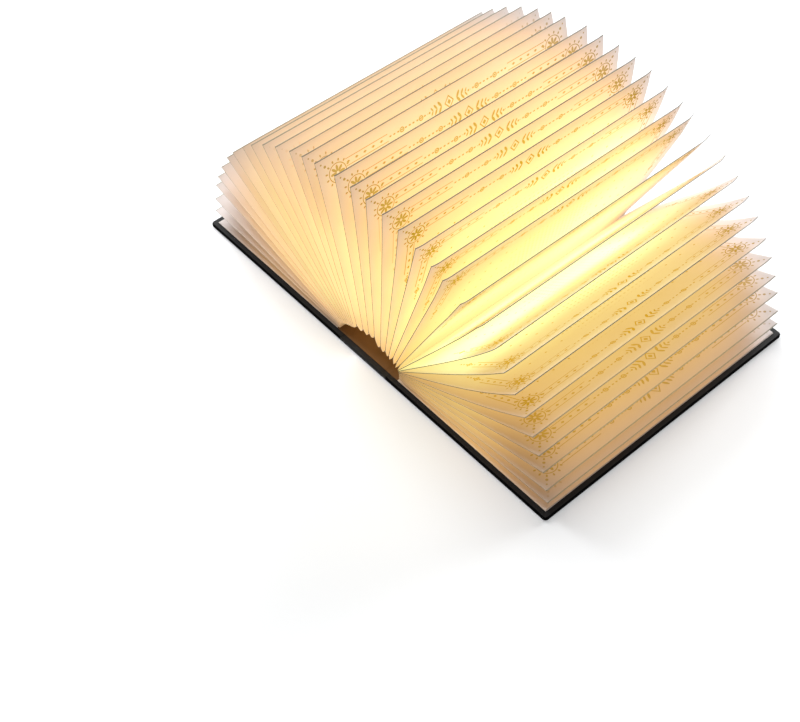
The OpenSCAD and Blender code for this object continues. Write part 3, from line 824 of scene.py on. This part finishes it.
# glued first and last pages
def glued(word, side, body):
    x0, x1, hy = 30.5, 164.5, 104.0
    us = np.concatenate([np.linspace(0, 1, 22)])
    ys = np.linspace(-hy, hy, 31)
    top, low = [], []
    for y in ys:
        for u in us:
            x = x0 + (x1 - x0) * u
            lift = 0.10 * math.sin(x * 0.11 + y * 0.03) * math.sin(math.pi * u)
            top.append((side * x, y, 3.5 + lift))
            low.append((side * x, y, 3.26))
    nu, nyy = len(us), len(ys)
    verts = top + low
    o = len(top)
    faces, fm = [], []
    for r in range(nyy - 1):
        for q in range(nu - 1):
            a, b, c, d = r * nu + q, r * nu + q + 1, (r + 1) * nu + q + 1, (r + 1) * nu + q
            faces += [(a, b, c, d), (o + d, o + c, o + b, o + a)]
            fm += [0, 0]
    for q in range(nu - 1):
        for r, s in ((0, 1), (nyy - 1, -1)):
            f = (r * nu + q, o + r * nu + q, o + r * nu + q + 1, r * nu + q + 1)
            faces.append(f)
            fm.append(1)
    for r in range(nyy - 1):
        for q in (0, nu - 1):
            f = (r * nu + q, (r + 1) * nu + q, o + (r + 1) * nu + q, o + r * nu + q)
            faces.append(f)
            fm.append(1)
    ob = mesh_object(word + "_glued_page_paper", verts, faces, [PAGE, PAGE_EDGE], fm)
    flip_check(ob)
    co = np.array(verts)
    d = x1 + 1.5 - np.abs(co[:, 0])
    point_attribute(ob, "pd", d)
    point_attribute(ob, "py", co[:, 1])
    point_attribute(ob, "pc_painted_light", painted_light_paleness(d, co[:, 1]))
    point_attribute(ob, "pw", [0.0] * len(d))
    point_attribute(ob, "pa_painted_light", [1.1] * len(d))
    point_attribute(ob, "pf_painted_shade", [0.2] * len(d))
    point_attribute(ob, "pk", [0.1] * len(d))
    point_attribute(ob, "pg", glow(34 if side > 0 else 0, d, co[:, 1]) * (1 - 0.6 * smooth(d, 60, 130)))
    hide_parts(word + "_glued_page")
    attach(ob, body)


glued("front", -1, "front_cover")
glued("back", 1, "back_cover")


# ======================================================================
# stamped foil: a generic ornament of frames, vine, rosettes and rays
# ======================================================================
def ribbon(pts, w, closed=False):
    """A line of width w along the points, as the two sides of a band."""
    pts = np.asarray(pts, float)
    if closed:
        d = np.roll(pts, -1, 0) - np.roll(pts, 1, 0)
    else:
        d = np.gradient(pts, axis=0)
    d /= np.maximum(np.hypot(d[:, 0], d[:, 1])[:, None], 1e-9)
    n = np.stack([-d[:, 1], d[:, 0]], 1)
    w = np.broadcast_to(np.asarray(w, float), (len(pts),))[:, None]
    return ("band", pts + n * w / 2, pts - n * w / 2, closed)


def frame_band(hx, hy, w):
    def rect(a, b):
        return np.array([(-a, -b), (a, -b), (a, b), (-a, b)], float)
    return ("band", rect(hx, hy), rect(hx - w, hy - w), True)


def oval(rx, ry, n=96):
    a = np.linspace(0, 2 * math.pi, n, endpoint=False)
    return np.stack([rx * np.cos(a), ry * np.sin(a)], 1)


def petal(x, y, angle, length, width, n=9):
    """A pointed leaf shape starting at (x, y)."""
    s = np.linspace(0, 1, n)
    half = 0.5 * width * np.sin(math.pi * s) ** 0.85
    up = np.stack([length * s, half], 1)
    low = np.stack([length * s, -half], 1)[1:-1][::-1]
    q = np.concatenate([up, low])
    c, k = math.cos(angle), math.sin(angle)
    return ("poly", np.stack([x + q[:, 0] * c - q[:, 1] * k, y + q[:, 0] * k + q[:, 1] * c], 1))


def dot(x, y, r, n=12):
    return ("poly", oval(r, r, n) + np.array([x, y]))


def rosette(x, y, r, petals, hub=0.22, turn=0.0, eye=True):
    out = [petal(x + hub * r * math.cos(a), y + hub * r * math.sin(a), a, r * (1 - hub), 1.45 * math.pi * r * 0.55 / petals)
           for a in (turn + 2 * math.pi * k / petals for k in range(petals))]
    return out + ([dot(x, y, hub * r * 0.8)] if eye else [])


def scroll(x, y, r, start, turns, sense, w):
    """A spiral that closes on (x, y) and thins towards its middle."""
    s = np.linspace(0, 1, int(44 * turns) + 6)
    rad = r * (1 - s) ** 0.8 + 0.5
    a = start + sense * 2 * math.pi * turns * s
    return ribbon(np.stack([x + rad * np.cos(a), y + rad * np.sin(a)], 1), w * (1 - 0.5 * s))


def moved(shape, fx, fy, dx=0.0, dy=0.0):
    f, o = np.array([fx, fy]), np.array([dx, dy])
    if shape[0] == "poly":
        return ("poly", shape[1] * f + o)
    return ("band", shape[1] * f + o, shape[2] * f + o, shape[3])


def foil_mesh(name, shapes, node, body):
    verts, faces = [], []
    for j, shape in enumerate(shapes):
        z0, z1, o = 0.004 * (j % 6), 0.07, len(verts)
        if shape[0] == "poly":
            m = len(shape[1])
            verts += [(q[0], q[1], z0) for q in shape[1]] + [(q[0], q[1], z1) for q in shape[1]]
            faces += [tuple(o + q for q in range(m)), tuple(o + m + q for q in range(m))[::-1]]
            faces += [(o + q, o + m + q, o + m + (q + 1) % m, o + (q + 1) % m) for q in range(m)]
        else:
            a, b, closed = shape[1:]
            m = len(a)
            for z in (z0, z1):
                verts += [(q[0], q[1], z) for q in a] + [(q[0], q[1], z) for q in b]
            for q in range(m if closed else m - 1):
                r = (q + 1) % m
                ring = [(o + q, o + r), (o + m + q, o + m + r), (o + 3 * m + q, o + 3 * m + r), (o + 2 * m + q, o + 2 * m + r)]
                for k in range(4):
                    (p0, p1), (q0, q1) = ring[k], ring[(k + 1) % 4]
                    faces.append((p0, p1, q1, q0))
            if not closed:
                for q in (0, m - 1):
                    faces.append((o + q, o + m + q, o + 3 * m + q, o + 2 * m + q))
    ob = flip_check(mesh_object(name, verts, faces, [FOIL], smooth=False))
    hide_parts(node)
    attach(ob, body)
    return ob


def cover_ornament():
    hx, hy = 66.2, 100.0
    whole = [frame_band(hx, hy, 1.1), frame_band(hx - 2.6, hy - 2.6, 0.5), frame_band(hx - 11.0, hy - 11.0, 0.9), frame_band(hx - 13.0, hy - 13.0, 0.45)]
    whole += [ribbon(oval(39, 58), 1.1, True), ribbon(oval(36.6, 55.6), 0.45, True), ribbon(oval(24.5, 24.5), 0.8, True), ribbon(oval(22.6, 22.6, 72), 0.4, True)]
    whole += rosette(0, 0, 21.0, 16, hub=0.36, eye=False) + [ribbon(oval(6.2, 6.2, 48), 0.6, True)] + rosette(0, 0, 5.0, 8, hub=0.26, turn=math.pi / 8)
    for k in range(48):                                # rays between the ring and the oval
        a = 2 * math.pi * (k + 0.5) / 48
        rim = 1 / math.hypot(math.cos(a) / 34.6, math.sin(a) / 53.4)
        r0 = 26.4
        r1 = rim if k % 2 else r0 + 0.55 * (rim - r0)
        if r1 - r0 > 2.5:
            whole.append(petal(r0 * math.cos(a), r0 * math.sin(a), a, r1 - r0, 1.25 if k % 2 else 0.95))
        whole.append(dot(42.3 * math.cos(a), 61.3 * math.sin(a), 0.62 if k % 2 else 0.38, 8))
    part = []
    # running vine between the frames
    for run, fixed, flip in ((hy - 16.5, hx - 7.3, False), (hx - 16.5, hy - 7.3, True)):
        n = int(round(run / 5.9))
        step = run / n
        s = np.linspace(0, run, n * 8 + 1)
        wave = np.stack([fixed + 1.5 * np.sin(math.pi * s / step), s], 1)
        leaves = []
        for k in range(n):
            side = 1 if k % 2 == 0 else -1
            leaves.append(petal(fixed + side * 1.2, (k + 0.45) * step, math.pi / 2 - side * 0.15 - (0 if side > 0 else 0), 4.4, 1.7))
            leaves.append(petal(fixed + side * 0.9, (k + 0.5) * step, math.pi / 2 + side * 2.2, 3.0, 1.25))
        for sh in [ribbon(wave, 0.5)] + leaves:
            if flip:
                sh = ("poly", sh[1][:, ::-1]) if sh[0] == "poly" else ("band", sh[1][:, ::-1], sh[2][:, ::-1], sh[3])
            part.append(sh)
    # corners of the border: a rosette in a ring
    cx, cy = hx - 8.2, hy - 8.2
    part += [ribbon(oval(5.4, 5.4, 40) + np.array([cx, cy]), 0.5, True)] + rosette(cx, cy, 4.6, 8)
    # spandrels: two scrolls springing from a palmette, with leaves and seeds
    part += [scroll(37.5, 72.0, 9.6, math.radians(-70), 1.7, 1, 1.1), scroll(19.0, 77.0, 6.8, math.radians(-20), 1.5, 1, 0.9),
             scroll(45.6, 54.5, 5.6, math.radians(60), 1.4, -1, 0.85)]
    for k, (ang, ln) in enumerate(zip(np.radians([5, 25, 45, 65, 85]), (5.0, 6.6, 7.8, 6.6, 5.0))):
        part.append(petal(44.4 + 1.6 * math.cos(ang), 78.2 + 1.6 * math.sin(ang), ang, ln * 0.85, 2.1))
    for ang in np.radians([150, 185, 220, 330, 5]):
        part.append(petal(37.5 + 10.3 * math.cos(ang), 72.0 + 10.3 * math.sin(ang), ang + 0.75, 4.6, 1.8))
    for ang in np.radians([60, 95, 130, 165]):
        part.append(petal(19.0 + 7.4 * math.cos(ang), 77.0 + 7.4 * math.sin(ang), ang + 0.7, 3.6, 1.5))
    for ang in np.radians([-80, -40, 0, 40]):
        part.append(petal(45.6 + 6.2 * math.cos(ang), 54.5 + 6.2 * math.sin(ang), ang - 0.7, 3.2, 1.4))
    for x, y, r in ((49.0, 40.0, 0.9), (50.6, 34.5, 0.65), (48.0, 29.5, 0.5), (50.2, 24.0, 0.8), (50.8, 12.0, 0.6), (48.6, 17.5, 0.45),
                    (28.5, 84.0, 0.7), (9.5, 83.0, 0.6), (10.5, 70.0, 0.6), (27.0, 62.5, 0.7), (5.0, 66.5, 0.45), (52.0, 66.0, 0.7), (51.5, 47.0, 0.5)):
        part.append(dot(x, y, r))
    for x, y, r in ((49.6, 5.5, 2.6), (6.6, 76.5, 2.8), (28.4, 57.5, 2.2)):      # small four-point stars
        for a in range(4):
            part.append(petal(x, y, a * math.pi / 2, r, 0.9, 7))
    for fx in (1, -1):
        for fy in (1, -1):
            whole += [moved(q, fx, fy) for q in part]
    return whole


front_ornament = [moved(q, -1, 1, dx=-95.8) for q in cover_ornament()]
foil_mesh("front_foil_ornament", front_ornament, "front_foil", "front_cover")


def spine_ornament():
    part = [("poly", np.array([(-13, y - w / 2), (13, y - w / 2), (13, y + w / 2), (-13, y + w / 2)], float))
            for y, w in ((98, 1.0), (95.6, 0.5), (62.4, 0.5), (60, 1.0), (57.6, 0.5))]
    part += [ribbon(oval(9, 9, 48) + np.array([0, 79.0]), 0.6, True)] + [moved(q, 1, 1, 0, 79.0) for q in rosette(0, 0, 7.6, 12, hub=0.28)]
    for sx in (-1, 1):
        for sy in (-1, 1):
            part.append(petal(sx * 9.2, 79.0 + sy * 9.2, math.atan2(sy, sx), 4.2, 1.9))
            part.append(dot(sx * 10.6, 79.0 + sy * 3.0, 0.5, 8))
    n, run = 8, 54.0
    s = np.linspace(0, run, n * 12 + 1)
    part.append(ribbon(np.stack([3.6 * np.sin(math.pi * s / (run / n)), s], 1), 0.75))
    for k in range(n):
        side = 1 if k % 2 == 0 else -1
        yk = (k + 0.5) * run / n
        part.append(petal(side * 3.4, yk, 0.6 if side > 0 else math.pi - 0.6, 6.2, 2.6))
        part.append(petal(side * 3.2, yk - 1.0, -0.5 if side > 0 else math.pi + 0.5, 4.4, 1.8))
        part.append(dot(-side * 6.2, yk, 0.7, 8))
        part.append(petal(-side * 1.0, yk, math.pi - 0.9 if side > 0 else 0.9, 3.6, 1.5))
    whole = [ribbon(oval(5.2, 5.2, 40), 0.6, True)] + rosette(0, 0, 4.2, 8)
    return whole + [moved(q, 1, fy) for fy in (1, -1) for q in part]


foil_mesh("spine_foil_ornament", spine_ornament(), "spine_foil", "spine")


# ======================================================================
# finishes of the carried-over construction
# ======================================================================
def finish(names, mat):
    for n in names.split():
        o = NODES[n]
        o.data.materials.clear()
        o.data.materials.append(mat)


finish("spine_board front_board back_board", BOARD)
finish("spine_lining front_hinge_lining back_hinge_lining", LINING)
finish("front_endpaper back_endpaper", ENDPAPER)
finish("trigger_magnet", MAGNET)
finish("light_bar_base led_carrier", WHITE_PLASTIC)
finish("battery", POUCH)
finish("control_board", PCB)
finish("usb_c_port carrier_screws", STEEL)
finish("hall_sensor", BLACK_PLASTIC)
finish("wiring", WIRE)
finish("led_strip", STRIP)
finish("leds", LED)
finish("diffuser", OPAL)


# ======================================================================
# floor
# ======================================================================
def floor():
    me = bpy.data.meshes.new("floor")
    s = 6.0
    me.from_pydata([(-s, -s, -0.0003), (s, -s, -0.0003), (s, s, -0.0003), (-s, s, -0.0003)], [], [(0, 1, 2, 3)])
    o = bpy.data.objects.new("floor", me)
    scene.collection.objects.link(o)
    t = Tree("floor_white")
    n = t.noise(6, 2)
    t.set(Base_Color=t.mix(n, (0.625, 0.64, 0.655), (0.64, 0.655, 0.67)), Roughness=0.8)
    t.set(Emission_Color=(1.0, 1.0, 1.0), Emission_Strength=0.335)
    me.materials.append(t.mat)


floor()
